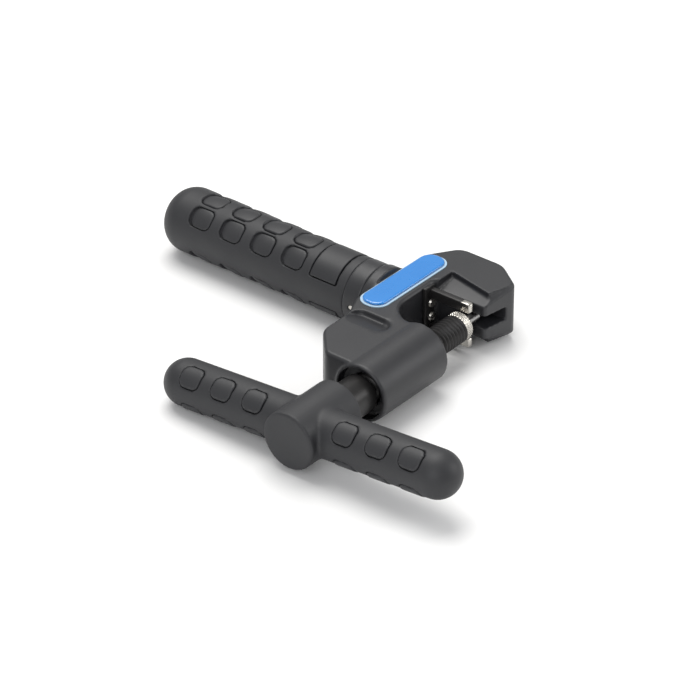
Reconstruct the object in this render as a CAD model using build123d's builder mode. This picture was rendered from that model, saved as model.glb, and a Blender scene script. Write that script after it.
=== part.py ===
from build123d import *
import math
import os

os.makedirs("parts", exist_ok=True)

# Frame, in millimetres: the origin is on the push pin's axis, in the middle of the
# chain seat. +Y is the way the pin pushes, +X points away from the main handle and
# +Z is up when the tool lies on its side.

# ---- driving dimensions -------------------------------------------------------------
# forged body
body_height = 18.6
spine_inner_x = -14.4
spine_width = 13.2
seat_to_anvil = 3.5
anvil_depth = 21.0
anvil_corner_setback = 7.5
anvil_corner_x = -3.0
anvil_tip_x = 5.4
anvil_reach = 7.6
anvil_flat_height = 11.8
body_edge_radius = 0.8
spine_corner_width = 5.6
spine_corner_depth = 11.5
lobe_rise = 8.5

# slopes that thin the anvil's top and bottom towards its tip
tip_rim_inset = 2.4
far_rim_inset = 0.6
rim_band = 1.9
slope_share = 0.45
relief_depth_inner = 7.2
relief_depth_tip = 2.9

# barrel, around the screw
barrel_diameter = 20.2
barrel_length = 32.1
seat_to_barrel = 21.5
barrel_rim_radius = 1.2
counterbore_diameter = 17.8
counterbore_depth = 3.4

# rivet exit slot in the anvil
slot_height = 4.6
slot_depth = 9.6
slot_behind_axis = 2.8

# lobe beside the barrel, and the scoop in its top
lobe_side_x = -23.8
lobe_shoulder_y = -29.5
lobe_corner_y = -42.5
lobe_front_x = -14.5
lobe_front_setback = 0.8
scoop_length = 15.0
scoop_width = 8.0
scoop_slope = 14.0
scoop_corner = 3.6
scoop_centre_x = -15.5
scoop_centre_y = -30.0

# boss and socket for the main handle
handle_y = -5.0
boss_diameter = 23.0
boss_length = 3.4
boss_overlap = 0.5
tang_diameter = 9.0
tang_socket_depth = 7.5

# pressure screw
thread_diameter = 9.9
thread_pitch = 1.5
thread_depth = 0.85
thread_clearance = 0.06
flank_start = 0.30
crest_start = 0.58
crest_end = 0.72
shank_diameter = 13.1
shank_chamfer = 0.9
shoulder_to_barrel = 2.0
nose_diameter = 7.0
nose_length = 1.4

# push pin and its knurled retainer
pin_diameter = 3.2
pin_head_diameter = 5.2
pin_reach = 6.5
retainer_diameter = 9.8
retainer_length = 3.2
retainer_to_seat = 1.25
retainer_lip = 0.65
pin_play = 0.06
head_end_play = 0.05

# chain cradle
tooth_pitch = 12.7
tooth_thickness = 2.2
tooth_width = 3.4
tooth_length = 5.6
cradle_plate_thickness = 1.2
cradle_plate_height = 18.0
cradle_plate_width = 4.8
cradle_plate_offset = -1.1
rivet_diameter = 2.2
rivet_head_diameter = 3.3
rivet_offset = 2.6
rivet_head_height = 0.6
rivet_hole_depth = 3.0

# T-handle
tee_angle = 4.4
tee_length = 115.0
tee_wing_diameter = 15.7
tee_from_barrel = 24.0
hub_diameter = 19.6
hub_length = 24.3
hub_shoulder_gap = 8.5
hub_cover = 1.9
wing_cover = 2.2
cross_bar_diameter = 7.0
cross_bar_end_cover = 9.0
roll_pin_diameter = 2.5
plug_thickness = 2.0
head_end_gap = 1.2

# main handle
handle_length = 87.3
handle_diameter_neck = 22.0
handle_diameter_end = 22.6
collar_length = 6.5
collar_pin_diameter = 1.8
core_wall = 3.0
neck_share = 0.55
tang_length = 62.0
handle_dome_radius = 8.5

# raised pads on both grips
pad_length = 8.2
pad_width = 6.4
pad_corner = 2.0
pad_gap = 0.45
pad_stand = 0.25
pad_seat_depth = 1.1
handle_pad_pitch = 13.2
handle_pad_count = 4
handle_pad_start = 18.3
tee_pad_pitch = 12.8
tee_pad_length = 7.2
tee_pad_width = 6.6
tee_pad_count = 3
tee_pad_start = 18.0
tee_row_angle = 51.0
pad_row_angle = 45.0
panel_length = 10.5
panel_angle = 124.0
panel_gap_from_pads = 4.3

# label
label_length = 38.0
label_width = 10.2
label_corner = 4.6
label_film = 0.35
label_dome = 0.9
label_border = 0.7
label_offset_x = -0.4
label_offset_y = -4.2

fit_gap = 0.05

# ---- places that follow from them ---------------------------------------------------
body_half = body_height / 2
spine_outer_x = spine_inner_x - spine_width
anvil_end_y = seat_to_anvil + anvil_depth
barrel_inner_y = -seat_to_barrel
barrel_front_y = barrel_inner_y - barrel_length
barrel_radius = barrel_diameter / 2
thread_radius = thread_diameter / 2
thread_root_radius = thread_radius - thread_depth
bore_radius = thread_radius + thread_clearance
shank_radius = shank_diameter / 2
retainer_front_y = -retainer_to_seat
retainer_back_y = retainer_front_y - retainer_length
shoulder_y = barrel_front_y - shoulder_to_barrel
hub_inner_y = shoulder_y - hub_shoulder_gap
hub_end_y = hub_inner_y - hub_length
tee_y = barrel_front_y - tee_from_barrel
boss_end_x = spine_outer_x - boss_length
collar_end_x = boss_end_x - collar_length
handle_end_x = spine_outer_x - handle_length - boss_length
grip_neck_radius = handle_diameter_neck / 2
grip_end_radius = handle_diameter_end / 2
tang_radius = tang_diameter / 2
core_radius = tang_radius + core_wall
pad_seat_radius = grip_neck_radius - pad_seat_depth
tee_wing_radius = tee_wing_diameter / 2
tee_pad_seat_radius = tee_wing_radius - pad_seat_depth

handle_axis = Axis((0, handle_y, 0), (1, 0, 0))
tee_across = Vector(math.cos(math.radians(tee_angle)), 0, math.sin(math.radians(tee_angle)))
tee_axis = Axis((0, tee_y, 0), tee_across)
tee_plane = Plane(origin=(0, tee_y, 0), x_dir=tee_across, z_dir=(0, -1, 0))


def turned_y(points):
    """Revolve a closed outline of (radius, y) points about the screw axis."""
    with BuildPart() as turned:
        with BuildSketch(Plane.XY):
            with BuildLine():
                Polyline(*points, close=True)
            make_face()
        revolve(axis=Axis.Y)
    return turned.part


def rod_y(radius, y_from, y_to):
    """A plain round rod along the screw axis."""
    return turned_y([(0, y_from), (radius, y_from), (radius, y_to), (0, y_to)])


def save(piece, name):
    """Label a finished piece and write it as one STEP file."""
    piece.label = name
    export_step(piece, f"parts/{name}.step")


# ---- tool body ----------------------------------------------------------------------
outline = [
    (anvil_tip_x, seat_to_anvil),
    (anvil_reach, anvil_end_y - anvil_corner_setback),
    (anvil_corner_x, anvil_end_y),
    (spine_inner_x - spine_corner_width, anvil_end_y),
    (spine_outer_x, anvil_end_y - spine_corner_depth),
    (spine_outer_x, lobe_shoulder_y + lobe_rise),
    (lobe_side_x, lobe_shoulder_y),
    (lobe_side_x, lobe_corner_y),
    (lobe_front_x, barrel_front_y + lobe_front_setback),
    (0, barrel_front_y + lobe_front_setback),
    (0, barrel_inner_y),
    (spine_inner_x, barrel_inner_y),
    (spine_inner_x, seat_to_anvil),
]
outline_radii = [1.2, 3.0, 7.0, 6.0, 6.0, 6.0, 5.0, 7.0, 4.0, 0.0, 0.0, 9.5, 2.0]


def anvil_side_section(along, rim_x, face_x, ridge_z):
    """Section of what the anvil's outer slope removes, across the pin's axis."""
    with BuildSketch(Plane.XZ.offset(-along)) as section:
        with BuildLine():
            Polyline(
                (rim_x, body_half + 1),
                (rim_x, ridge_z + (body_half - ridge_z) * slope_share),
                (face_x, ridge_z),
                (face_x + 3, ridge_z),
                (face_x + 3, body_half + 1),
                close=True,
            )
        make_face()
    return section.sketch


def relief_section(across, rim_y):
    """Section of what the relief over the chain face removes, along the pin's axis."""
    with BuildSketch(Plane.YZ.offset(across)) as section:
        with BuildLine():
            Polyline(
                (seat_to_anvil - 1, body_half + 1),
                (seat_to_anvil - 1, anvil_flat_height / 2),
                (seat_to_anvil, anvil_flat_height / 2),
                (rim_y, body_half - rim_band),
                (rim_y, body_half + 1),
                close=True,
            )
        make_face()
    return section.sketch


side_cut = loft(
    [
        anvil_side_section(
            seat_to_anvil - 0.5, anvil_tip_x - tip_rim_inset, anvil_tip_x, anvil_flat_height / 2
        ),
        anvil_side_section(
            anvil_end_y - anvil_corner_setback,
            anvil_reach - far_rim_inset,
            anvil_reach,
            body_half - 0.8,
        ),
    ]
)
relief_cut = loft(
    [
        relief_section(spine_inner_x + 1.0, seat_to_anvil + relief_depth_inner),
        relief_section(anvil_reach, seat_to_anvil + relief_depth_tip),
    ]
)

scoop_tilt = math.radians(scoop_slope)
scoop_floor = Plane(
    origin=(scoop_centre_x, scoop_centre_y - scoop_width / 2, body_half),
    x_dir=(1, 0, 0),
    z_dir=(0, math.sin(scoop_tilt), math.cos(scoop_tilt)),
)

with BuildPart() as tool_body:
    with BuildSketch(Plane.XY.offset(-body_half)):
        with BuildLine():
            FilletPolyline(*outline, radius=outline_radii, close=True)
        make_face()
    extrude(amount=body_height)
    chamfer(
        tool_body.faces().filter_by(Axis.Z).edges(),
        length=body_edge_radius,
    )
    with BuildSketch(Plane.XZ.offset(seat_to_barrel)):
        Circle(barrel_radius)
    extrude(amount=barrel_length)
    fillet(
        tool_body.edges().filter_by(GeomType.CIRCLE).filter_by(
            lambda edge: abs(edge.radius - barrel_radius) < fit_gap
        ).group_by(Axis.Y)[0],
        radius=barrel_rim_radius,
    )
    # boss that carries the main handle
    with BuildSketch(Plane.YZ.offset(boss_end_x)):
        with Locations((handle_y, 0)):
            Circle(boss_diameter / 2)
    extrude(amount=boss_length + boss_overlap)
    # slopes above and below the chain face and the exit slot
    for cut in (side_cut, relief_cut):
        add(cut, mode=Mode.SUBTRACT)
        add(cut.mirror(Plane.XY), mode=Mode.SUBTRACT)
    # rivet exit slot, open to the throat and outwards
    with BuildSketch(Plane.XZ.offset(-seat_to_anvil + 1)):
        with Locations(((anvil_reach + 4 - slot_behind_axis) / 2, 0)):
            Rectangle(anvil_reach + 4 + slot_behind_axis, slot_height)
    extrude(amount=-(slot_depth + 1), mode=Mode.SUBTRACT)
    # screw bore and counterbore
    with BuildSketch(Plane.XZ.offset(seat_to_barrel - 2)):
        Circle(bore_radius)
    extrude(amount=barrel_length + 4, mode=Mode.SUBTRACT)
    with BuildSketch(Plane.XZ.offset(-barrel_front_y - counterbore_depth)):
        Circle(counterbore_diameter / 2)
    extrude(amount=counterbore_depth + 1, mode=Mode.SUBTRACT)
    # scoop in the top of the lobe
    with BuildSketch(scoop_floor):
        with Locations((0, scoop_width / 2)):
            RectangleRounded(scoop_length, scoop_width, scoop_corner)
    extrude(amount=scoop_width, mode=Mode.SUBTRACT)
    # socket for the handle's tang
    with BuildSketch(Plane.YZ.offset(boss_end_x - 1)):
        with Locations((handle_y, 0)):
            Circle(tang_radius)
    extrude(amount=boss_length + tang_socket_depth + 1, mode=Mode.SUBTRACT)
    # holes for the cradle's rivets
    with BuildSketch(Plane.YZ.offset(spine_inner_x - rivet_hole_depth)):
        with Locations((0, rivet_offset), (0, -rivet_offset)):
            Circle(rivet_diameter / 2)
    extrude(amount=rivet_hole_depth + 2, mode=Mode.SUBTRACT)
save(tool_body.part, "tool_body")

# ---- chain cradle and its rivets ----------------------------------------------------
plate_face_x = spine_inner_x + cradle_plate_thickness
with BuildPart() as chain_cradle:
    with BuildSketch(Plane.YZ.offset(spine_inner_x)):
        with Locations((cradle_plate_offset, 0)):
            RectangleRounded(cradle_plate_width, cradle_plate_height, 1.0)
    extrude(amount=cradle_plate_thickness)
    with BuildSketch(Plane.YZ.offset(spine_inner_x)):
        with Locations((0, tooth_pitch / 2), (0, -tooth_pitch / 2)):
            Rectangle(tooth_thickness, tooth_width)
    extrude(amount=-spine_inner_x + tooth_length / 2)
    chamfer(chain_cradle.faces().sort_by(Axis.X)[-2:].edges(), length=0.5)
    with BuildSketch(Plane.YZ.offset(spine_inner_x - 1)):
        with Locations((0, rivet_offset), (0, -rivet_offset)):
            Circle(rivet_diameter / 2)
    extrude(amount=cradle_plate_thickness + 2, mode=Mode.SUBTRACT)
save(chain_cradle.part, "chain_cradle")

with BuildPart() as cradle_rivets:
    for side in (1, -1):
        with BuildSketch(Plane.YZ.offset(spine_inner_x - rivet_hole_depth)):
            with Locations((0, side * rivet_offset)):
                Circle(rivet_diameter / 2)
        extrude(amount=rivet_hole_depth + cradle_plate_thickness)
        with BuildSketch(Plane.YZ.offset(plate_face_x)):
            with Locations((0, side * rivet_offset)):
                Circle(rivet_head_diameter / 2)
        extrude(amount=rivet_head_height, taper=25)
save(cradle_rivets.part, "cradle_rivets")

# ---- label: a printed film with a clear dome ----------------------------------------
label_x = spine_inner_x - spine_width / 2 + label_offset_x
label_plane = Plane.XY.offset(body_half)
with BuildPart() as label_film_part:
    with BuildSketch(label_plane):
        with Locations((label_x, label_offset_y)):
            RectangleRounded(label_width, label_length, label_corner)
    extrude(amount=label_film)
save(label_film_part.part, "label_film")

with BuildPart() as label_dome_part:
    with BuildSketch(label_plane.offset(label_film)):
        with Locations((label_x, label_offset_y)):
            RectangleRounded(
                label_width - 2 * label_border,
                label_length - 2 * label_border,
                label_corner - label_border,
            )
    extrude(amount=label_dome)
    fillet(label_dome_part.faces().sort_by(Axis.Z)[-1].edges(), radius=label_dome * 0.6)
save(label_dome_part.part, "label_dome")

# ---- main handle --------------------------------------------------------------------
tang_inner_x = spine_outer_x + tang_socket_depth
with BuildPart() as handle_tang:
    with BuildSketch(Plane.YZ.offset(tang_inner_x - tang_length - tang_socket_depth)):
        with Locations((handle_y, 0)):
            Circle(tang_radius)
    extrude(amount=tang_length + tang_socket_depth)
    chamfer(handle_tang.edges().filter_by(GeomType.CIRCLE), length=0.6)
    with BuildSketch(Plane.XZ.offset(-handle_y)):
        with Locations((boss_end_x - collar_length / 2, 0)):
            Circle(collar_pin_diameter / 2)
    extrude(amount=tang_diameter, both=True, mode=Mode.SUBTRACT)
save(handle_tang.part, "handle_tang")

with BuildPart() as handle_collar:
    with BuildSketch(Plane.YZ.offset(collar_end_x)):
        with Locations((handle_y, 0)):
            Circle(grip_neck_radius + 0.1)
            Circle(tang_radius + fit_gap, mode=Mode.SUBTRACT)
    extrude(amount=collar_length)
    chamfer(
        handle_collar.faces().sort_by(Axis.X)[-1].edges().sort_by(SortBy.LENGTH)[-1:],
        length=0.5,
    )
    with BuildSketch(Plane.XZ.offset(-handle_y)):
        with Locations((boss_end_x - collar_length / 2, 0)):
            Circle(collar_pin_diameter / 2)
    extrude(amount=handle_diameter_end, both=True, mode=Mode.SUBTRACT)
save(handle_collar.part, "handle_collar")

with BuildPart() as collar_pin:
    with BuildSketch(Plane.XZ.offset(-handle_y)):
        with Locations((boss_end_x - collar_length / 2, 0)):
            Circle(collar_pin_diameter / 2)
    extrude(amount=grip_neck_radius - 0.2, both=True)
    chamfer(collar_pin.edges().filter_by(GeomType.CIRCLE), length=0.25)
save(collar_pin.part, "collar_pin")

core_end_x = handle_end_x + handle_dome_radius
tang_end_x = tang_inner_x - tang_length - tang_socket_depth
with BuildPart() as handle_core:
    with BuildSketch(Plane.YZ.offset(core_end_x)):
        with Locations((handle_y, 0)):
            Circle(core_radius)
    extrude(amount=collar_end_x - core_end_x)
    with BuildSketch(Plane.YZ.offset(tang_end_x - fit_gap)):
        with Locations((handle_y, 0)):
            Circle(tang_radius + fit_gap)
    extrude(amount=collar_end_x - tang_end_x + 1, mode=Mode.SUBTRACT)
save(handle_core.part, "handle_core")


def handle_pad_places():
    """Middle of each small pad along the handle, from the domed end inwards."""
    first = handle_end_x + handle_pad_start
    return [first + i * handle_pad_pitch for i in range(handle_pad_count)]


def handle_row_plane(turn):
    """Plane on the handle's axis that faces one row of pads; turn is from the front."""
    out = (0, -math.cos(math.radians(turn)), math.sin(math.radians(turn)))
    return Plane(origin=(0, handle_y, 0), x_dir=(1, 0, 0), z_dir=out)


def grip_sleeve(radius):
    """A round rod about the handle's axis, longer than the grip."""
    with BuildPart() as sleeve:
        with BuildSketch(Plane.YZ.offset(handle_end_x - 5)):
            with Locations((handle_y, 0)):
                Circle(radius)
        extrude(amount=handle_length + 10)
    return sleeve.part


def pad_prisms(turn, places, length, width, corner, row_plane, height):
    """Rounded-square prisms that stand out of a grip's axis, one for each place."""
    with BuildPart() as prisms:
        with BuildSketch(row_plane(turn)):
            with Locations(*[(x, 0) for x in places]):
                RectangleRounded(length, width, corner)
        extrude(amount=height)
    return prisms.part


def panel_prism(turn, grow):
    """Wedge of the wrapped panel: a sector of the grip, centred on one side."""
    half = math.radians(panel_angle / 2) + grow / grip_neck_radius
    reach = handle_diameter_end
    last_pad = handle_pad_places()[-1] + pad_length / 2
    start = last_pad + panel_gap_from_pads - grow
    side = [
        (reach * math.cos(math.pi / 2 + half * t), reach * math.sin(math.pi / 2 + half * t))
        for t in (1, 0.5, 0, -0.5, -1)
    ]
    with BuildPart() as wedge:
        with BuildSketch(Plane.YZ.offset(start)):
            with BuildLine():
                Polyline((0, 0), *side, close=True)
            make_face()
        extrude(amount=panel_length + 2 * grow)
    placed = wedge.part if turn > 0 else wedge.part.mirror(Plane.XY)
    return placed.moved(Location((0, handle_y, 0)))


row_turns = [side * (pad_row_angle * k) for side in (1, -1) for k in (1, 2, 3)]

with BuildPart() as handle_grip:
    with BuildSketch(Plane.XY):
        with BuildLine():
            Polyline(
                (handle_end_x, handle_y + grip_end_radius - handle_dome_radius),
                (handle_end_x, handle_y),
                (collar_end_x, handle_y),
                (collar_end_x, handle_y + grip_neck_radius),
                (handle_end_x + handle_length * neck_share, handle_y + grip_neck_radius + 0.1),
                (handle_end_x + handle_dome_radius, handle_y + grip_end_radius),
            )
            RadiusArc(
                (handle_end_x + handle_dome_radius, handle_y + grip_end_radius),
                (handle_end_x, handle_y + grip_end_radius - handle_dome_radius),
                -handle_dome_radius,
            )
        make_face()
    revolve(axis=handle_axis)
    with BuildSketch(Plane.YZ.offset(core_end_x)):
        with Locations((handle_y, 0)):
            Circle(core_radius)
    extrude(amount=collar_end_x - core_end_x + 1, mode=Mode.SUBTRACT)
    for turn in row_turns:
        pockets = pad_prisms(
            turn, handle_pad_places(), pad_length + 2 * pad_gap, pad_width + 2 * pad_gap,
            pad_corner + pad_gap, handle_row_plane, handle_diameter_end,
        ) - grip_sleeve(pad_seat_radius)
        add(pockets, mode=Mode.SUBTRACT)
    for side in (1, -1):
        add(panel_prism(side, pad_gap) - grip_sleeve(pad_seat_radius), mode=Mode.SUBTRACT)
save(handle_grip.part, "handle_grip")

pad_top_radius = grip_neck_radius + pad_stand
for index, turn in enumerate(row_turns):
    shell = grip_sleeve(pad_top_radius) - grip_sleeve(pad_seat_radius)
    pads = pad_prisms(
        turn, handle_pad_places(), pad_length, pad_width, pad_corner, handle_row_plane,
        handle_diameter_end,
    ) & shell
    side_name = "upper" if turn > 0 else "lower"
    row_name = ("front", "crown", "back")[index % 3]
    save(pads, f"handle_pads_{side_name}_{row_name}")

for side, name in ((1, "upper"), (-1, "lower")):
    shell = grip_sleeve(pad_top_radius - 0.1) - grip_sleeve(pad_seat_radius)
    save(panel_prism(side, 0) & shell, f"handle_panel_{name}")

# ---- pressure screw -----------------------------------------------------------------
thread_start_y = retainer_back_y
thread_turns = int((thread_start_y - shoulder_y) / thread_pitch)
thread_profile = [(0, shoulder_y - shank_chamfer), (shank_radius, shoulder_y - shank_chamfer)]
thread_profile += [(thread_radius + 0.4, shoulder_y)]
thread_profile += [(thread_root_radius, shoulder_y)]
for turn in range(thread_turns):
    groove_y = shoulder_y + turn * thread_pitch
    thread_profile += [
        (thread_root_radius, groove_y + thread_pitch * flank_start),
        (thread_radius, groove_y + thread_pitch * crest_start),
        (thread_radius, groove_y + thread_pitch * crest_end),
        (thread_root_radius, groove_y + thread_pitch),
    ]
thread_profile += [(thread_root_radius, thread_start_y)]
thread_profile += [(nose_diameter / 2, thread_start_y)]
thread_profile += [(nose_diameter / 2, thread_start_y + nose_length)]
thread_profile += [(0, thread_start_y + nose_length)]

head_end_y = hub_end_y + hub_cover + plug_thickness + head_end_gap
with BuildPart() as pressure_screw:
    add(turned_y(thread_profile))
    add(rod_y(shank_radius, head_end_y, shoulder_y - shank_chamfer))
    with BuildSketch(Plane(origin=tee_plane.origin, z_dir=tee_across)):
        Circle(cross_bar_diameter / 2 + fit_gap)
    extrude(amount=shank_diameter, both=True, mode=Mode.SUBTRACT)
    with BuildSketch(Plane(origin=(0, tee_y, 0), z_dir=tee_plane.y_dir)):
        Circle(roll_pin_diameter / 2)
    extrude(amount=shank_diameter, both=True, mode=Mode.SUBTRACT)
save(pressure_screw.part, "pressure_screw")

# ---- knurled retainer and push pin --------------------------------------------------
nose_bore = nose_diameter / 2 + fit_gap
lip_back_y = retainer_front_y - retainer_lip
pin_hole = pin_diameter / 2 + pin_play
save(
    turned_y(
        [
            (nose_bore, retainer_back_y),
            (retainer_diameter / 2 - 0.3, retainer_back_y),
            (retainer_diameter / 2, retainer_back_y + 0.3),
            (retainer_diameter / 2, retainer_front_y - 0.5),
            (retainer_diameter / 2 - 0.5, retainer_front_y),
            (pin_hole, retainer_front_y),
            (pin_hole, lip_back_y),
            (nose_bore, lip_back_y),
        ]
    ),
    "pin_retainer",
)

pin_head_back_y = thread_start_y + nose_length + head_end_play
pin_head_front_y = lip_back_y - head_end_play
save(
    turned_y(
        [
            (0, pin_head_back_y),
            (pin_head_diameter / 2, pin_head_back_y),
            (pin_head_diameter / 2, pin_head_front_y),
            (pin_diameter / 2, pin_head_front_y),
            (pin_diameter / 2, pin_reach - 0.4),
            (pin_diameter / 2 - 0.4, pin_reach),
            (0, pin_reach),
        ]
    ),
    "push_pin",
)

# ---- T-handle -----------------------------------------------------------------------
bar_half = tee_length / 2 - cross_bar_end_cover
with BuildPart() as cross_bar:
    with BuildSketch(Plane(origin=tee_plane.origin, z_dir=tee_across)):
        Circle(cross_bar_diameter / 2)
    extrude(amount=bar_half, both=True)
    chamfer(cross_bar.edges().filter_by(GeomType.CIRCLE), length=0.6)
    with BuildSketch(Plane(origin=tee_plane.origin, z_dir=tee_plane.y_dir)):
        Circle(roll_pin_diameter / 2)
    extrude(amount=cross_bar_diameter, both=True, mode=Mode.SUBTRACT)
save(cross_bar.part, "cross_bar")

with BuildPart() as roll_pin:
    with BuildSketch(Plane(origin=tee_plane.origin, z_dir=tee_plane.y_dir)):
        Circle(roll_pin_diameter / 2)
        Circle(roll_pin_diameter / 2 - 0.55, mode=Mode.SUBTRACT)
    extrude(amount=shank_radius - 0.3, both=True)
save(roll_pin.part, "roll_pin")

core_hub_radius = hub_diameter / 2 - hub_cover
core_wing_radius = tee_wing_radius - wing_cover
core_half = bar_half + 2.0


def tee_rod(radius, half):
    """A round rod about the cross bar's axis."""
    with BuildPart() as rod:
        with BuildSketch(Plane(origin=tee_plane.origin, z_dir=tee_across)):
            Circle(radius)
        extrude(amount=half, both=True)
    return rod.part


with BuildPart() as tee_core:
    add(rod_y(core_hub_radius, hub_end_y + hub_cover, hub_inner_y))
    add(tee_rod(core_wing_radius, core_half))
    add(rod_y(shank_radius + fit_gap, hub_end_y, hub_inner_y + 1), mode=Mode.SUBTRACT)
    add(tee_rod(cross_bar_diameter / 2 + fit_gap, bar_half + fit_gap), mode=Mode.SUBTRACT)
save(tee_core.part, "tee_core")

save(
    rod_y(shank_radius, hub_end_y + hub_cover, hub_end_y + hub_cover + plug_thickness),
    "hub_plug",
)

tee_pad_places = [
    side * (tee_pad_start + i * tee_pad_pitch) for side in (1, -1) for i in range(tee_pad_count)
]


def tee_row_plane(turn):
    """Plane on the cross bar's axis that faces one row of pads."""
    up = tee_plane.y_dir
    out = tee_plane.z_dir * math.cos(math.radians(turn)) + up * math.sin(math.radians(turn))
    return Plane(origin=tee_plane.origin, x_dir=tee_across, z_dir=out)


with BuildPart() as tee_grip:
    with BuildSketch(tee_plane):
        with BuildLine():
            half = tee_length / 2
            Polyline(
                (0, 0),
                (0, tee_wing_radius),
                (half - tee_wing_radius, tee_wing_radius),
            )
            RadiusArc((half - tee_wing_radius, tee_wing_radius), (half, 0), tee_wing_radius)
            Line((half, 0), (0, 0))
        make_face()
        mirror(about=Plane.YZ)
    revolve(axis=tee_axis)
    add(rod_y(hub_diameter / 2, hub_end_y, hub_inner_y))
    fillet(
        tee_grip.faces().filter_by(Axis.Y).sort_by(Axis.Y)[0].edges(),
        radius=0.8,
    )
    add(rod_y(core_hub_radius, hub_end_y + hub_cover, hub_inner_y + 1), mode=Mode.SUBTRACT)
    add(tee_rod(core_wing_radius, core_half), mode=Mode.SUBTRACT)
    for turn in (tee_row_angle, -tee_row_angle):
        pockets = pad_prisms(
            turn, tee_pad_places, tee_pad_length + 2 * pad_gap, tee_pad_width + 2 * pad_gap,
            pad_corner + pad_gap, tee_row_plane, tee_wing_diameter,
        ) - tee_rod(tee_pad_seat_radius, tee_length)
        add(pockets, mode=Mode.SUBTRACT)
save(tee_grip.part, "tee_grip")

tee_shell = tee_rod(tee_wing_radius + pad_stand, tee_length) - tee_rod(
    tee_pad_seat_radius, tee_length
)
for turn, name in ((tee_row_angle, "upper"), (-tee_row_angle, "lower")):
    pads = pad_prisms(
        turn, tee_pad_places, tee_pad_length, tee_pad_width, pad_corner, tee_row_plane,
        tee_wing_diameter,
    ) & tee_shell
    save(pads, f"tee_pads_{name}")
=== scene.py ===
import logging
import math
from dataclasses import dataclass, field
from enum import Enum
from typing import Callable, Iterable, Optional

import bmesh
import bpy
from mathutils import Matrix, Vector


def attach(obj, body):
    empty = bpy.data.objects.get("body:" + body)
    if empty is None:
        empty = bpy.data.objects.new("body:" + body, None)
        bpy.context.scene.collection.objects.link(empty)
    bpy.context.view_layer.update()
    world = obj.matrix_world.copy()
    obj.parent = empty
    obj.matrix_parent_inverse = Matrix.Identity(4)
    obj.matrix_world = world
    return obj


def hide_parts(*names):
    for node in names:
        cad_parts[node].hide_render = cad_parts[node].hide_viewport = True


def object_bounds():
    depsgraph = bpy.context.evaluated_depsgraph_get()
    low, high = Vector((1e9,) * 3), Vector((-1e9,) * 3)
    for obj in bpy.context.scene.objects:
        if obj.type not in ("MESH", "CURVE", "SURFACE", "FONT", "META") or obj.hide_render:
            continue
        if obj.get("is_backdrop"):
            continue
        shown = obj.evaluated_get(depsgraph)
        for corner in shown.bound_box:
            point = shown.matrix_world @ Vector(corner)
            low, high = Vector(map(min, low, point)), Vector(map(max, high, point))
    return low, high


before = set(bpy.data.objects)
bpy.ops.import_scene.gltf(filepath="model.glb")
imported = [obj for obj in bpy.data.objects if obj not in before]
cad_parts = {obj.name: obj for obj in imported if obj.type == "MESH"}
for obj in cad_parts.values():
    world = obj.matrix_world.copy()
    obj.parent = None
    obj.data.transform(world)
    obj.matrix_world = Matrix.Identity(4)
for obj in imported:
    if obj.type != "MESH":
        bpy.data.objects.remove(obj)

log = logging.getLogger("chain_tool")

MM = 0.001
MERGE_DISTANCE = 0.002 * MM
SHARP_ANGLE = math.radians(38.0)
CORNER_ANGLE = math.radians(60.0)
RELAX_SHARE = 0.5
PATCH_DETAIL = 5.0
PATCH_ROUGHNESS = 0.55
PATCH_LOW = 0.3
PATCH_HIGH = 0.7
GRAIN_DETAIL = 3.0

Shape = Callable[[bmesh.types.BMesh], None]


class Slot(Enum):
    """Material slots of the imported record."""

    BODY = "body_black"
    NICKEL = "nickel"
    LABEL_BORDER = "label_border"
    LABEL_BLUE = "label_blue"
    STEEL = "tool_steel"
    CORE = "core_plastic"
    GRIP = "grip_rubber"
    PAD = "pad_rubber"
    COLLAR = "collar_black"
    SCREW = "screw_black"


class Body(Enum):
    """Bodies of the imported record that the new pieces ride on."""

    FRAME = "frame"
    SPINDLE = "spindle"


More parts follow.
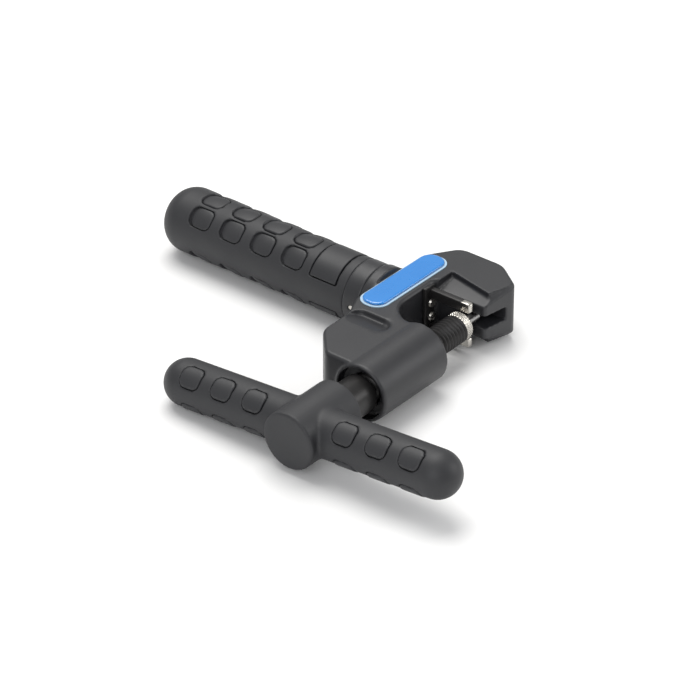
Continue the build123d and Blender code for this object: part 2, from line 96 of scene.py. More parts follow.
@dataclass(frozen=True)
class Finish:
    """One surface finish. Lengths are in metres and colours are linear.

    Attributes:
        colour: Base colour.
        dark: Colour that the slow variation drifts towards.
        roughness: Middle roughness.
        roughness_swing: How far the roughness wanders either way.
        metallic: Metallic share.
        grain: Size of the fine bump's grains.
        grain_height: Height of the fine bump.
        grain_strength: Strength of the fine bump.
        patch: Size of the slow patches of colour and roughness.
        coat: Clear coat weight.
        coat_roughness: Clear coat's roughness.
    """

    colour: tuple[float, float, float]
    dark: tuple[float, float, float]
    roughness: float
    roughness_swing: float = 0.06
    metallic: float = 0.0
    grain: float = 0.45 * MM
    grain_height: float = 0.05 * MM
    grain_strength: float = 0.25
    patch: float = 18.0 * MM
    coat: float = 0.0
    coat_roughness: float = 0.1

    def material(self, name: str) -> bpy.types.Material:
        """Build this finish as a node material.

        Args:
            name: Name of the material.

        Returns:
            The new material, with its pattern on Object coordinates.
        """
        made = bpy.data.materials.new(name)
        made.use_nodes = True
        nodes = made.node_tree.nodes
        links = made.node_tree.links
        shader = nodes["Principled BSDF"]
        shader.inputs["Metallic"].default_value = self.metallic
        shader.inputs["Coat Weight"].default_value = self.coat
        shader.inputs["Coat Roughness"].default_value = self.coat_roughness

        place = nodes.new("ShaderNodeTexCoord")
        patches = nodes.new("ShaderNodeTexNoise")
        patches.inputs["Scale"].default_value = 1.0 / self.patch
        patches.inputs["Detail"].default_value = PATCH_DETAIL
        patches.inputs["Roughness"].default_value = PATCH_ROUGHNESS
        links.new(place.outputs["Object"], patches.inputs["Vector"])

        tint = nodes.new("ShaderNodeMix")
        tint.data_type = "RGBA"
        tint.inputs["A"].default_value = (*self.dark, 1.0)
        tint.inputs["B"].default_value = (*self.colour, 1.0)
        links.new(patches.outputs["Fac"], tint.inputs["Factor"])
        links.new(tint.outputs["Result"], shader.inputs["Base Color"])

        wander = nodes.new("ShaderNodeMapRange")
        wander.inputs["From Min"].default_value = PATCH_LOW
        wander.inputs["From Max"].default_value = PATCH_HIGH
        wander.inputs["To Min"].default_value = self.roughness - self.roughness_swing
        wander.inputs["To Max"].default_value = self.roughness + self.roughness_swing
        links.new(patches.outputs["Fac"], wander.inputs["Value"])
        links.new(wander.outputs["Result"], shader.inputs["Roughness"])

        grains = nodes.new("ShaderNodeTexNoise")
        grains.inputs["Scale"].default_value = 1.0 / self.grain
        grains.inputs["Detail"].default_value = GRAIN_DETAIL
        links.new(place.outputs["Object"], grains.inputs["Vector"])
        bump = nodes.new("ShaderNodeBump")
        bump.inputs["Strength"].default_value = self.grain_strength
        bump.inputs["Distance"].default_value = self.grain_height
        links.new(grains.outputs["Fac"], bump.inputs["Height"])
        links.new(bump.outputs["Normal"], shader.inputs["Normal"])
        return made


FINISHES: dict[Slot, Finish] = {
    Slot.BODY: Finish(
        (0.0205, 0.021, 0.024), (0.0145, 0.015, 0.0175), 0.44, grain=0.55 * MM, grain_strength=0.35
    ),
    Slot.NICKEL: Finish(
        (0.62, 0.60, 0.55), (0.46, 0.44, 0.41), 0.26, metallic=1.0, grain=0.3 * MM,
        grain_strength=0.08, patch=5 * MM,
    ),
    Slot.LABEL_BORDER: Finish((0.45, 0.60, 0.72), (0.38, 0.53, 0.66), 0.35, grain_strength=0.02),
    Slot.LABEL_BLUE: Finish(
        (0.010, 0.215, 0.62), (0.006, 0.175, 0.54), 0.28, 0.02, grain=4 * MM, grain_strength=0.03, coat=0.8
    ),
    Slot.STEEL: Finish(
        (0.42, 0.41, 0.40), (0.30, 0.30, 0.30), 0.34, metallic=1.0, grain=0.3 * MM, patch=6 * MM
    ),
    Slot.CORE: Finish((0.045, 0.045, 0.05), (0.035, 0.035, 0.04), 0.5),
    Slot.GRIP: Finish(
        (0.0215, 0.022, 0.025), (0.0165, 0.017, 0.0195), 0.55, grain=0.3 * MM, grain_strength=0.3
    ),
    Slot.PAD: Finish(
        (0.0215, 0.022, 0.025), (0.016, 0.0165, 0.019), 0.5, grain=0.3 * MM, grain_strength=0.3
    ),
    Slot.COLLAR: Finish((0.0205, 0.021, 0.024), (0.0145, 0.015, 0.0175), 0.44, grain=0.5 * MM),
    Slot.SCREW: Finish(
        (0.032, 0.031, 0.031), (0.022, 0.021, 0.021), 0.36, metallic=0.5, grain=0.4 * MM,
        grain_strength=0.15, patch=7 * MM,
    ),
}


class Paint:
    """Hands out one material for each slot."""

    def __init__(self, finishes: dict[Slot, Finish]) -> None:
        """Keep the finishes.

        Args:
            finishes: Finish of each material slot.
        """
        self.finishes = finishes
        self.made: dict[Slot, bpy.types.Material] = {}

    def of(self, slot: Slot) -> bpy.types.Material:
        """Material of a slot, built when it is first asked for.

        Args:
            slot: Material slot.

        Returns:
            The slot's material.
        """
        if slot not in self.made:
            self.made[slot] = self.finishes[slot].material(slot.value)
        return self.made[slot]


def mesh_of(obj: bpy.types.Object) -> bmesh.types.BMesh:
    """Mesh of an object as it looks with its modifiers.

    Args:
        obj: Object to read.

    Returns:
        A new bmesh.
    """
    graph = bpy.context.evaluated_depsgraph_get()
    made = bmesh.new()
    made.from_object(obj, graph)
    return made


def evened(
    node: str, voxel: float, passes: int, before: Optional[Shape] = None
) -> bmesh.types.BMesh:
    """Copy of a CAD node's mesh, merged, remeshed evenly and smoothed.

    Args:
        node: CAD node to copy.
        voxel: Size of the remesh's cells.
        passes: Passes of smoothing.
        before: Change made to the copy before it is remeshed.

    Returns:
        A new bmesh with smooth faces.
    """
    copy = bpy.data.objects.new(f"copy_{node}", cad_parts[node].data.copy())
    bpy.context.scene.collection.objects.link(copy)
    joined = bmesh.new()
    joined.from_mesh(copy.data)
    bmesh.ops.remove_doubles(joined, verts=joined.verts, dist=MERGE_DISTANCE)
    if before:
        before(joined)
    joined.to_mesh(copy.data)
    joined.free()
    even = copy.modifiers.new("even", "REMESH")
    even.mode = "VOXEL"
    even.voxel_size = voxel
    even.use_smooth_shade = True
    soft = copy.modifiers.new("soft", "SMOOTH")
    soft.factor = RELAX_SHARE
    soft.iterations = passes
    bpy.context.view_layer.update()
    made = mesh_of(copy)
    data = copy.data
    bpy.data.objects.remove(copy)
    bpy.data.meshes.remove(data)
    return made


def relaxed(mesh: bmesh.types.BMesh, verts: list[bmesh.types.BMVert], passes: int) -> None:
    """Smooth part of a mesh further.

    Args:
        mesh: Mesh to change.
        verts: Vertices to smooth.
        passes: Passes of smoothing.
    """
    for _ in range(passes):
        bmesh.ops.smooth_vert(
            mesh, verts=verts, factor=RELAX_SHARE, use_axis_x=True, use_axis_y=True, use_axis_z=True
        )


def bevelled(
    mesh: bmesh.types.BMesh, edges: Iterable[bmesh.types.BMEdge], width: float, segments: int = 3
) -> None:
    """Round some edges of a mesh.

    Args:
        mesh: Mesh to change.
        edges: Edges to round.
        width: Width of the rounding.
        segments: Steps across it.
    """
    bmesh.ops.bevel(
        mesh, geom=list(edges), offset=width, offset_type="OFFSET", segments=segments, profile=0.5,
        affect="EDGES", clamp_overlap=True, material=-1,
    )


def widened(mesh: bmesh.types.BMesh, centre: Vector, along: Vector, amount: float) -> None:
    """Grow pads sideways so that less of the groove round them is left.

    Args:
        mesh: Mesh of the pads.
        centre: A point on the grip's axis.
        along: Direction of the grip's axis.
        amount: How far each side moves.
    """
    mesh.normal_update()
    moves = []
    for vert in mesh.verts:
        away = vert.co - centre
        out = (away - along * away.dot(along)).normalized()
        moves.append((vert, vert.normal - out * vert.normal.dot(out)))
    for vert, move in moves:
        vert.co += move * amount


def sharp_edges(mesh: bmesh.types.BMesh, angle: float) -> list[bmesh.types.BMEdge]:
    """Edges where the surface turns by more than an angle.

    Args:
        mesh: Mesh to look at.
        angle: Least turn, in radians.

    Returns:
        The edges found.
    """
    joined = [edge for edge in mesh.edges if len(edge.link_faces) == 2]
    return [edge for edge in joined if edge.calc_face_angle(0.0) > angle]


def turned(
    mesh: bmesh.types.BMesh, profile: list[tuple[float, float]], steps: int, closed: bool = True
) -> None:
    """Turn a profile of (radius, y) points about the screw's axis and add it to a mesh.

    Args:
        mesh: Mesh that takes the result.
        profile: Points of the profile.
        steps: Steps in the full turn.
        closed: Whether the last point joins the first.
    """
    points = [mesh.verts.new((radius, y, 0.0)) for radius, y in profile]
    edges = [mesh.edges.new(pair) for pair in zip(points, points[1:])]
    if closed:
        edges.append(mesh.edges.new((points[-1], points[0])))
    bmesh.ops.spin(
        mesh, geom=points + edges, cent=(0.0, 0.0, 0.0), axis=(0.0, 1.0, 0.0), angle=math.tau,
        steps=steps, use_merge=True,
    )


class Piece:
    """Turns finished meshes into pieces that ride on a body."""

    def __init__(self, paint: Paint) -> None:
        """Keep the paint.

        Args:
            paint: Source of the materials.
        """
        self.paint = paint

    def add(
        self,
        name: str,
        mesh: bmesh.types.BMesh,
        body: Body,
        slot: Slot,
        stands_for: tuple[str, ...] = (),
    ) -> bpy.types.Object:
        """Make an object of a mesh.

        Args:
            name: Name of the piece.
            mesh: Its mesh, which is freed here.
            body: Body that it rides on.
            slot: Material slot.
            stands_for: CAD nodes that it replaces.

        Returns:
            The new object, at the origin.
        """
        bmesh.ops.recalc_face_normals(mesh, faces=mesh.faces)
        for face in mesh.faces:
            face.smooth = True
        data = bpy.data.meshes.new(name)
        mesh.to_mesh(data)
        mesh.free()
        data.set_sharp_from_angle(angle=SHARP_ANGLE)
        data.materials.append(self.paint.of(slot))
        made = bpy.data.objects.new(name, data)
        bpy.context.scene.collection.objects.link(made)
        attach(made, body.value)
        if stands_for:
            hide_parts(*stands_for)
        log.info("%s: %d faces", name, len(data.polygons))
        return made

    def paint_node(self, node: str, slot: Slot) -> None:
        """Give a CAD node that stays its material.

        Args:
            node: CAD node.
            slot: Its material slot.
        """
        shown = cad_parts[node]
        shown.data.materials.clear()
        shown.data.materials.append(self.paint.of(slot))


@dataclass
class ForgedBody:
    """The forged claw with its barrel, lobe and boss.

    Attributes:
        voxel: Size of the remesh's cells.
        passes: Passes of smoothing, which blend the forging's creases.
        bore_radius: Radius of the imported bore.
        bore_shown: Radius that the bore is opened to, clear of the thread's crests.
        bore_tolerance: How near a vertex lies to the bore's wall to count.
        crease_passes: Further passes along the crease beside the barrel.
        crease_centre: Middle of the crease.
        crease_half: Half the size of the block that the crease lies in.
    """

    voxel: float = 0.37 * MM
    passes: int = 4
    bore_radius: float = 5.01 * MM
    bore_shown: float = 5.5 * MM
    bore_tolerance: float = 0.05 * MM
    crease_passes: int = 26
    crease_centre: Vector = field(default_factory=lambda: Vector((-8.2 * MM, -36.0 * MM, 9.0 * MM)))
    crease_half: Vector = field(default_factory=lambda: Vector((3.8 * MM, 15.5 * MM, 2.8 * MM)))

    def open_bore(self, mesh: bmesh.types.BMesh) -> None:
        """Open the bore a little, so that the remeshed wall stays clear of the screw.

        Args:
            mesh: Merged copy of the body's mesh.
        """
        for vert in mesh.verts:
            radius = math.hypot(vert.co.x, vert.co.z)
            if abs(radius - self.bore_radius) < self.bore_tolerance:
                vert.co.x *= self.bore_shown / radius
                vert.co.z *= self.bore_shown / radius

    def build(self, piece: Piece) -> None:
        """Build the body.

        Args:
            piece: Maker of pieces.
        """
        mesh = evened("tool_body", self.voxel, self.passes, self.open_bore)
        crease = [
            vert
            for vert in mesh.verts
            if all(abs(c) < h for c, h in zip(vert.co - self.crease_centre, self.crease_half))
        ]
        relaxed(mesh, crease, self.crease_passes)
        piece.add("forged_body", mesh, Body.FRAME, Slot.BODY, ("tool_body",))


@dataclass
class ChainCradle:
    """Plate and its two teeth, painted black up to near the tips as painted shade for the dark reflections
    in the throat; the rounded tips keep the bright nickel.

    Attributes:
        spine_x: Face of the spine that the plate lies on.
        plate: Thickness, width and height of the plate.
        plate_y: Middle of the plate along the pin.
        tooth: Thickness and width of a tooth.
        tooth_tip_x: Tip of the teeth.
        painted_shade_to_x: Where the painted shade on the teeth ends and the bright nickel tips begin.
        tooth_pitch: Distance between the teeth.
        tip_round: Rounding of the tips.
        edge_round: Rounding of the other edges.
    """

    spine_x: float = -14.4 * MM
    plate: tuple[float, float, float] = (1.2 * MM, 4.8 * MM, 18.0 * MM)
    plate_y: float = -1.1 * MM
    tooth: tuple[float, float] = (2.2 * MM, 3.4 * MM)
    tooth_tip_x: float = 2.8 * MM
    # The painted shade on the teeth ends at this x; past it the tips are nickel.
    painted_shade_to_x: float = -0.6 * MM
    tooth_pitch: float = 12.7 * MM
    tip_round: float = 0.75 * MM
    edge_round: float = 0.3 * MM

    def block(
        self, mesh: bmesh.types.BMesh, size: tuple[float, float, float], centre: Vector
    ) -> list[bmesh.types.BMEdge]:
        """Add a block.

        Args:
            mesh: Mesh that takes it.
            size: Its size.
            centre: Its middle.

        Returns:
            The block's edges.
        """
        place = Matrix.Translation(centre) @ Matrix.Diagonal((*size, 1.0))
        verts = bmesh.ops.create_cube(mesh, size=1.0, matrix=place)["verts"]
        return sorted({edge for vert in verts for edge in vert.link_edges}, key=lambda edge: edge.index)

    def build(self, piece: Piece) -> None:
        """Build the cradle and paint its rivets.

        Args:
            piece: Maker of pieces.
        """
        mesh = bmesh.new()
        thick, wide, high = self.plate
        edges = self.block(mesh, self.plate, Vector((self.spine_x + thick / 2, self.plate_y, 0.0)))
        bevelled(mesh, edges, self.edge_round)
        tips = bmesh.new()
        for side in (1.0, -1.0):
            # Each tooth is painted black from the plate up to this x, as painted shade for the dark
            # throat, and only its tip gets nickel.
            for holder, low, high in (
                (mesh, self.spine_x, self.painted_shade_to_x),
                (tips, self.painted_shade_to_x - self.edge_round, self.tooth_tip_x),
            ):
                centre = Vector(((low + high) / 2, 0.0, side * self.tooth_pitch / 2))
                tooth = bmesh.new()
                self.block(tooth, (high - low, *self.tooth), centre)
                if holder is tips:
                    end = [edge for edge in tooth.edges if all(v.co.x > centre.x for v in edge.verts)]
                    bevelled(tooth, end, self.tip_round, 4)
                bevelled(tooth, sharp_edges(tooth, CORNER_ANGLE), self.edge_round)
                held = bpy.data.meshes.new("tooth")
                tooth.to_mesh(held)
                tooth.free()
                holder.from_mesh(held)
                bpy.data.meshes.remove(held)
        piece.add("cradle_tooth_tips", tips, Body.FRAME, Slot.NICKEL, ("chain_cradle",))
        # The plate gets the black screw finish as painted shade for the dark reflections in the throat.
        piece.add("cradle_plate", mesh, Body.FRAME, Slot.SCREW, ("chain_cradle",))
        piece.paint_node("cradle_rivets", Slot.NICKEL)


@dataclass
class Label:
    """Domed label, left bare.

    Attributes:
        voxel: Size of the remesh's cells.
        passes: Passes of smoothing that make the dome.
    """

    voxel: float = 0.24 * MM
    passes: int = 9

    def build(self, piece: Piece) -> None:
        """Build the dome and paint its film.

        Args:
            piece: Maker of pieces.
        """
        mesh = evened("label_dome", self.voxel, self.passes)
        piece.add("label_resin", mesh, Body.FRAME, Slot.LABEL_BLUE, ("label_dome",))
        piece.paint_node("label_film", Slot.LABEL_BORDER)


@dataclass(frozen=True)
class PadRow:
    """One row of small pads along the main handle.

    Attributes:
        node: CAD node of the row.
        sink: How deep each pad's far end dips below its rim.
    """

    node: str
    sink: float


@dataclass
class MainHandle:
    """Long side handle: grip, rows of pads, wrapped panels, collar and its pin.

    Attributes:
        axis_y: Place of the handle's axis.
        voxel: Size of the grip's remesh cells.
        pad_voxel: Size of the pads' remesh cells.
        grip_passes: Passes of smoothing on the grip.
        pad_passes: Passes of smoothing on the small pads.
        panel_passes: Passes of smoothing on the panels.
        collar_passes: Passes of smoothing on the collar.
        first_pad_x: Middle of the pad nearest the domed end.
        pad_pitch: Distance between pads.
        pad_count: Pads in a row.
        pad_half: Half a pad's length.
        flat_share: Share of half a pad that the slope starts past its middle.
        pad_growth: How far each pad grows into its groove.
        seat_radius: Radius of the pads' seats.
        skin: Least depth of a vertex over the seat for it to count as the pad's face.
        rows: Rows of pads.
    """

    axis_y: float = -5.0 * MM
    voxel: float = 0.36 * MM
    pad_voxel: float = 0.27 * MM
    grip_passes: int = 4
    pad_passes: int = 2
    panel_passes: int = 3
    collar_passes: int = 2
    first_pad_x: float = -100.0 * MM
    pad_pitch: float = 13.2 * MM
    pad_count: int = 4
    pad_half: float = 4.1 * MM
    flat_share: float = 0.35
    pad_growth: float = 0.28 * MM
    seat_radius: float = 9.9 * MM
    skin: float = 0.45 * MM
    rows: tuple[PadRow, ...] = (
        PadRow("handle_pads_upper_front", 1.0 * MM),
        PadRow("handle_pads_upper_crown", 0.55 * MM),
        PadRow("handle_pads_upper_back", 0.8 * MM),
        PadRow("handle_pads_lower_front", 0.85 * MM),
        PadRow("handle_pads_lower_crown", 0.6 * MM),
        PadRow("handle_pads_lower_back", 0.8 * MM),
    )

    def dip(self, mesh: bmesh.types.BMesh, sink: float) -> None:
        """Slope the face of each pad down towards the handle's end.

        Args:
            mesh: Mesh of a row of pads.
            sink: Depth at the far end.
        """
        for vert in mesh.verts:
            index = round((vert.co.x - self.first_pad_x) / self.pad_pitch)
            index = min(max(index, 0), self.pad_count - 1)
            middle = self.first_pad_x + index * self.pad_pitch
            start = middle + self.pad_half * self.flat_share
            share = (start - vert.co.x) / (self.pad_half * (1.0 + self.flat_share))
            share = min(max(share, 0.0), 1.0)
            across = Vector((0.0, vert.co.y - self.axis_y, vert.co.z))
            over = across.length - self.seat_radius
            if over > self.skin:
                vert.co -= across.normalized() * min(sink * share * share, over - self.skin / 2)

    def build(self, piece: Piece) -> None:
        """Build the handle.

        Args:
            piece: Maker of pieces.
        """
        grip = evened("handle_grip", self.voxel, self.grip_passes)
        piece.add("side_grip", grip, Body.FRAME, Slot.GRIP, ("handle_grip",))
        axis_point = Vector((0.0, self.axis_y, 0.0))
        for row in self.rows:
            mesh = evened(row.node, self.pad_voxel, self.pad_passes)
            widened(mesh, axis_point, Vector((1.0, 0.0, 0.0)), self.pad_growth)
            self.dip(mesh, row.sink)
            relaxed(mesh, list(mesh.verts), 1)
            piece.add(f"{row.node}_moulded", mesh, Body.FRAME, Slot.PAD, (row.node,))
        for side in ("upper", "lower"):
            node = f"handle_panel_{side}"
            panel = evened(node, self.pad_voxel, self.panel_passes)
            piece.add(f"{node}_moulded", panel, Body.FRAME, Slot.PAD, (node,))
        collar = evened("handle_collar", self.voxel, self.collar_passes)
        piece.add("grip_collar", collar, Body.FRAME, Slot.COLLAR, ("handle_collar",))
        piece.paint_node("collar_pin", Slot.NICKEL)
        piece.paint_node("handle_tang", Slot.STEEL)
        piece.paint_node("handle_core", Slot.CORE)


@dataclass
class PressureScrew:
    """Screw with a true helical thread, a plain shank and a nose for the retainer.

    Attributes:
        crest_radius: Radius over the crests.
        root_radius: Radius of the roots.
        pitch: Thread pitch.
        shares: Places of the flanks and the crest in one pitch.
        heights: Share of the thread's depth at each of those places.
        run_out: Pitches of thread made past each end, and cut off again.
        steps: Steps in one turn of the thread.
        shank_steps: Steps round the shank.
        shoulder_segments: Steps across the shoulder's rounding.
        nose_steps: Steps round the nose.
        thread_from: Start of the thread, inside the shank.
        thread_to: End of the thread, inside the retainer.
        shank_radius: Radius of the shank.
        shank_from: End of the shank, inside the hub.
        shank_to: Shoulder of the shank.
        shoulder_round: Rounding of the shoulder.
        nose_radius: Radius of the nose in the retainer.
        nose_to: End of the nose.
    """

    crest_radius: float = 4.93 * MM
    root_radius: float = 4.10 * MM
    pitch: float = 1.5 * MM
    shares: tuple[float, ...] = (0.0, 0.12, 0.20, 0.46, 0.54, 0.66, 0.74)
    heights: tuple[float, ...] = (0.0, 0.0, 0.12, 0.88, 1.0, 1.0, 0.88)
    run_out: float = 1.5
    steps: int = 60
    shank_steps: int = 96
    shoulder_segments: int = 5
    nose_steps: int = 48
    thread_from: float = -55.8 * MM
    thread_to: float = -4.4 * MM
    shank_radius: float = 6.55 * MM
    shank_from: float = -83.3 * MM
    shank_to: float = -52.3 * MM
    shoulder_round: float = 0.9 * MM
    nose_radius: float = 3.5 * MM
    nose_to: float = -3.05 * MM

    def thread(self, mesh: bmesh.types.BMesh) -> None:
        """Add the helical thread, cut flat at both ends.

        Args:
            mesh: Mesh that takes it.
        """
        start = self.thread_from - self.run_out * self.pitch
        turns = math.ceil((self.thread_to - start) / self.pitch) + 1
        depth = self.crest_radius - self.root_radius
        places = list(zip(self.shares, self.heights)) + [(1.0, 0.0)]
        points = [
            mesh.verts.new((self.root_radius + depth * height, start + share * self.pitch, 0.0))
            for share, height in places
        ]
        edges = [mesh.edges.new(pair) for pair in zip(points, points[1:])]
        bmesh.ops.spin(
            mesh, geom=points + edges, cent=(0.0, 0.0, 0.0), axis=(0.0, 1.0, 0.0),
            dvec=(0.0, self.pitch / self.steps, 0.0), angle=math.tau * turns, steps=self.steps * turns,
            use_merge=False,
        )
        bmesh.ops.remove_doubles(mesh, verts=mesh.verts, dist=MERGE_DISTANCE)
        for at, way in ((self.thread_from, -1.0), (self.thread_to, 1.0)):
            bmesh.ops.bisect_plane(
                mesh, geom=[*mesh.verts, *mesh.edges, *mesh.faces], dist=MERGE_DISTANCE / 10,
                plane_co=(0.0, at, 0.0), plane_no=(0.0, way, 0.0), clear_outer=True,
            )
            rim = [
                edge
                for edge in mesh.edges
                if edge.is_boundary and all(abs(v.co.y - at) < MERGE_DISTANCE for v in edge.verts)
            ]
            caps = bmesh.ops.holes_fill(mesh, edges=rim, sides=0)["faces"]
            bmesh.ops.triangulate(mesh, faces=caps)

    def build(self, piece: Piece) -> None:
        """Build the screw.

        Args:
            piece: Maker of pieces.
        """
        mesh = bmesh.new()
        self.thread(mesh)
        piece.add("screw_thread", mesh, Body.SPINDLE, Slot.SCREW, ("pressure_screw",))
        shank = bmesh.new()
        turned(
            shank,
            [
                (0.0, self.shank_from),
                (self.shank_radius, self.shank_from),
                (self.shank_radius, self.shank_to),
                (0.0, self.shank_to),
            ],
            self.shank_steps,
            closed=False,
        )
        bmesh.ops.remove_doubles(shank, verts=shank.verts, dist=MERGE_DISTANCE)
        rims = sharp_edges(shank, CORNER_ANGLE)
        shoulder = [edge for edge in rims if edge.verts[0].co.y > self.shank_to - MM]
        bevelled(shank, shoulder, self.shoulder_round, self.shoulder_segments)
        piece.add("screw_shank", shank, Body.SPINDLE, Slot.SCREW, ("pressure_screw",))
        nose = bmesh.new()
        turned(
            nose,
            [
                (0.0, self.thread_to),
                (self.nose_radius, self.thread_to),
                (self.nose_radius, self.nose_to),
                (0.0, self.nose_to),
            ],
            self.nose_steps,
            closed=False,
        )
        bmesh.ops.remove_doubles(nose, verts=nose.verts, dist=MERGE_DISTANCE)
        piece.add("screw_nose", nose, Body.SPINDLE, Slot.SCREW, ("pressure_screw",))


@dataclass
class PinRetainer:
    """Knurled ring on the screw's tip, and the push pin that it holds.

    Attributes:
        radius: Outer radius.
        bore_radius: Radius of the bore over the screw's nose.
        pin_hole_radius: Radius of the hole for the pin.
        back_y: Back face.
        front_y: Front face.
        lip: Thickness of the front wall.
        front_round: Chamfer at the front.
        back_round: Chamfer at the back.
        knurls: Ridges of one hand round the ring.
        knurl_pitch: Advance of a ridge along the axis in one ridge's width.
        knurl_depth: Depth of the knurling.
        groove_share: How steeply the grooves fall; over 1 gives them a flat floor.
        rows: Rows of vertices along the knurled band.
        steps: Steps round the ring.
    """

    radius: float = 4.9 * MM
    bore_radius: float = 3.55 * MM
    pin_hole_radius: float = 1.66 * MM
    back_y: float = -4.45 * MM
    front_y: float = -1.25 * MM
    lip: float = 0.65 * MM
    front_round: float = 0.5 * MM
    back_round: float = 0.3 * MM
    knurls: int = 34
    knurl_pitch: float = 0.9 * MM
    knurl_depth: float = 0.26 * MM
    groove_share: float = 1.35
    rows: int = 26
    steps: int = 408

    def knurl(self, angle: float, y: float) -> float:
        """Depth of the knurling at a place.

        Args:
            angle: Angle round the ring.
            y: Place along it.

        Returns:
            How far the surface lies below the outer radius.
        """
        turn = angle * self.knurls / math.tau
        rise = y / self.knurl_pitch
        waves = [abs((turn + way * rise) % 1.0 - 0.5) * 2.0 for way in (1.0, -1.0)]
        return self.knurl_depth * min(1.0, self.groove_share * (1.0 - min(waves)))

    def build(self, piece: Piece) -> None:
        """Build the retainer and paint the pin.

        Args:
            piece: Maker of pieces.
        """
        mesh = bmesh.new()
        low, high = self.back_y + self.back_round, self.front_y - self.front_round
        band = [(self.radius, low + (high - low) * i / self.rows) for i in range(self.rows + 1)]
        inner = [
            (self.radius - self.front_round, self.front_y),
            (self.pin_hole_radius, self.front_y),
            (self.pin_hole_radius, self.front_y - self.lip),
            (self.bore_radius, self.front_y - self.lip),
            (self.bore_radius, self.back_y),
            (self.radius - self.back_round, self.back_y),
        ]
        turned(mesh, band + inner, self.steps)
        for vert in mesh.verts:
            radius = math.hypot(vert.co.x, vert.co.z)
            if radius > self.radius - MERGE_DISTANCE and low < vert.co.y < high:
                cut = 1.0 - self.knurl(math.atan2(vert.co.z, vert.co.x), vert.co.y) / radius
                vert.co.x *= cut
                vert.co.z *= cut
        piece.add("knurled_retainer", mesh, Body.SPINDLE, Slot.NICKEL, ("pin_retainer",))
        piece.paint_node("push_pin", Slot.STEEL)


@dataclass
class TeeHandle:
    """T-handle: hub and wings in one soft moulding, with rows of pads.

    Attributes:
        axis_y: Place of the cross bar.
        voxel: Size of the remesh's cells.
        pad_voxel: Size of the pads' remesh cells.
        pad_growth: How far each pad grows into its groove.
        tilt: Turn of the cross bar about the screw's axis, in radians.
        hub_radius: Radius of the hub.
        passes: Passes of smoothing on the moulding.
        pad_passes: Passes of smoothing on the pads.
        blend_reach: How far past the hub's wall the blend into the wings reaches.
        blend_inset: How far inside the hub's wall the blend starts.
        blend_from_x: Least distance of the blend from the screw's axis, sideways.
        blend_half_y: Half the blend's width along the screw.
        blend_passes: Passes of smoothing in the blend.
    """

    axis_y: float = -77.6 * MM
    voxel: float = 0.39 * MM
    pad_voxel: float = 0.27 * MM
    pad_growth: float = 0.3 * MM
    tilt: float = math.radians(4.4)
    hub_radius: float = 9.8 * MM
    passes: int = 3
    pad_passes: int = 3
    blend_reach: float = 2.6 * MM
    blend_inset: float = 1.6 * MM
    blend_from_x: float = 3.0 * MM
    blend_half_y: float = 9.6 * MM
    blend_passes: int = 14

    @property
    def along(self) -> Vector:
        """Direction of the cross bar."""
        return Vector((math.cos(self.tilt), 0.0, math.sin(self.tilt)))

    def build(self, piece: Piece) -> None:
        """Build the T-handle.

        Args:
            piece: Maker of pieces.
        """
        mesh = evened("tee_grip", self.voxel, self.passes)
        corner = [
            vert
            for vert in mesh.verts
            if abs(vert.co.x) > self.blend_from_x
            and abs(vert.co.y - self.axis_y) < self.blend_half_y
            and -self.blend_inset
            < math.hypot(vert.co.x, vert.co.z) - self.hub_radius
            < self.blend_reach
        ]
        relaxed(mesh, corner, self.blend_passes)
        piece.add("tee_moulding", mesh, Body.SPINDLE, Slot.GRIP, ("tee_grip",))
        for side in ("upper", "lower"):
            node = f"tee_pads_{side}"
            pads = evened(node, self.pad_voxel, self.pad_passes)
            widened(pads, Vector((0.0, self.axis_y, 0.0)), self.along, self.pad_growth)
            piece.add(f"{node}_moulded", pads, Body.SPINDLE, Slot.PAD, (node,))
        piece.paint_node("tee_core", Slot.CORE)
        piece.paint_node("hub_plug", Slot.CORE)
        piece.paint_node("cross_bar", Slot.STEEL)
        piece.paint_node("roll_pin", Slot.STEEL)


@dataclass(frozen=True)
class Lamp:
    """One square area light.

    Attributes:
        name: Name of the light.
        place: Where it stands.
        size: Its width.
        power: Its power in watts.
        colour: Its colour.
    """

    name: str
    place: tuple[float, float, float]
    size: float
    power: float
    colour: tuple[float, float, float] = (1.0, 1.0, 1.0)


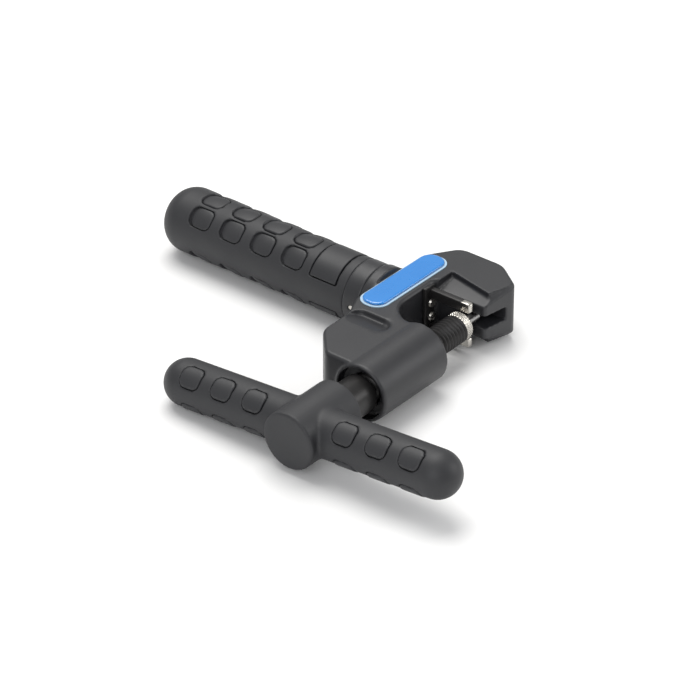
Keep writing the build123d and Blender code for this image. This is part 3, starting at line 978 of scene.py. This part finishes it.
@dataclass
class Studio:
    """Camera, pale floor and soft lights.

    Attributes:
        azimuth: Camera's azimuth, in degrees.
        elevation: Camera's elevation, in degrees.
        distance: Distance from the origin's plane.
        aside: Camera's offset to its left.
        below: Camera's offset downwards.
        lens: Focal length in mm on a 36 mm sensor.
        floor_size: Width of the floor.
        floor_colour: Colour of the floor.
        floor_roughness: Roughness of the floor.
        floor_specular: Specular level of the floor.
        sky: Strength of the even light from all round.
        sky_colour: Colour of that light.
        aim: Point that the lamps look at.
        lamps: The lamps.
    """

    azimuth: float = 39.0
    elevation: float = 32.3
    distance: float = 1.200
    aside: float = 36.58 * MM
    below: float = 8.67 * MM
    lens: float = 192.9
    floor_size: float = 8.0
    floor_colour: tuple[float, float, float] = (0.88, 0.88, 0.88)
    floor_roughness: float = 0.9
    floor_specular: float = 0.1
    sky: float = 0.5
    sky_colour: tuple[float, float, float] = (1.0, 1.0, 1.0)
    aim: tuple[float, float, float] = (-0.02, -0.03, 0.0)
    lamps: tuple[Lamp, ...] = (
        Lamp("key", (-0.35, 0.15, 0.95), 0.8, 9.5, (1.0, 0.99, 0.97)),
        Lamp("front", (0.25, -0.95, 0.55), 0.7, 3.5, (0.97, 0.98, 1.0)),
        Lamp("edge", (0.75, 0.55, 0.45), 0.5, 3.0),
    )

    def camera(self) -> None:
        """Place the camera."""
        turn, rise = math.radians(self.azimuth), math.radians(self.elevation)
        right = Vector((math.cos(turn), math.sin(turn), 0.0))
        back = Vector((math.sin(turn) * math.cos(rise), -math.cos(turn) * math.cos(rise), math.sin(rise)))
        up = back.cross(right)
        placed = Matrix((right, up, back)).transposed().to_4x4()
        placed.translation = back * self.distance - right * self.aside - up * self.below
        data = bpy.data.cameras.new("camera")
        data.sensor_width = 36.0
        data.lens = self.lens
        data.clip_end = 50.0
        made = bpy.data.objects.new("camera", data)
        made.matrix_world = placed
        bpy.context.scene.collection.objects.link(made)
        bpy.context.scene.camera = made

    def light(self, lamp: Lamp) -> None:
        """Add a lamp that looks at the object.

        Args:
            lamp: Lamp to add.
        """
        data = bpy.data.lights.new(lamp.name, "AREA")
        data.shape = "SQUARE"
        data.size = lamp.size
        data.energy = lamp.power
        data.color = lamp.colour
        made = bpy.data.objects.new(lamp.name, data)
        made.location = lamp.place
        towards = Vector(self.aim) - Vector(lamp.place)
        made.rotation_euler = towards.to_track_quat("-Z", "Y").to_euler()
        bpy.context.scene.collection.objects.link(made)

    def build(self, floor_z: float) -> None:
        """Build the studio.

        Args:
            floor_z: Height of the floor.
        """
        self.camera()
        mesh = bmesh.new()
        bmesh.ops.create_grid(
            mesh, x_segments=1, y_segments=1, size=self.floor_size / 2,
            matrix=Matrix.Translation((0.0, 0.0, floor_z)),
        )
        data = bpy.data.meshes.new("floor")
        mesh.to_mesh(data)
        mesh.free()
        paper = bpy.data.materials.new("paper")
        paper.use_nodes = True
        shader = paper.node_tree.nodes["Principled BSDF"]
        shader.inputs["Base Color"].default_value = (*self.floor_colour, 1.0)
        shader.inputs["Roughness"].default_value = self.floor_roughness
        shader.inputs["Specular IOR Level"].default_value = self.floor_specular
        data.materials.append(paper)
        floor = bpy.data.objects.new("floor", data)
        bpy.context.scene.collection.objects.link(floor)
        floor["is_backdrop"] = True
        for lamp in self.lamps:
            self.light(lamp)
        world = bpy.data.worlds.new("studio")
        world.use_nodes = True
        backdrop = world.node_tree.nodes["Background"]
        backdrop.inputs["Color"].default_value = (*self.sky_colour, 1.0)
        backdrop.inputs["Strength"].default_value = self.sky
        bpy.context.scene.world = world
        bpy.context.scene.view_settings.view_transform = "Standard"


def main() -> None:
    """Build the chain tool and its studio."""
    logging.basicConfig(level=logging.INFO)
    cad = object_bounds()
    piece = Piece(Paint(FINISHES))
    for part in (
        ForgedBody(),
        ChainCradle(),
        Label(),
        MainHandle(),
        PressureScrew(),
        PinRetainer(),
        TeeHandle(),
    ):
        part.build(piece)
    Studio().build(cad[0][2])
    bpy.context.view_layer.update()


if __name__ == "__main__":
    main()
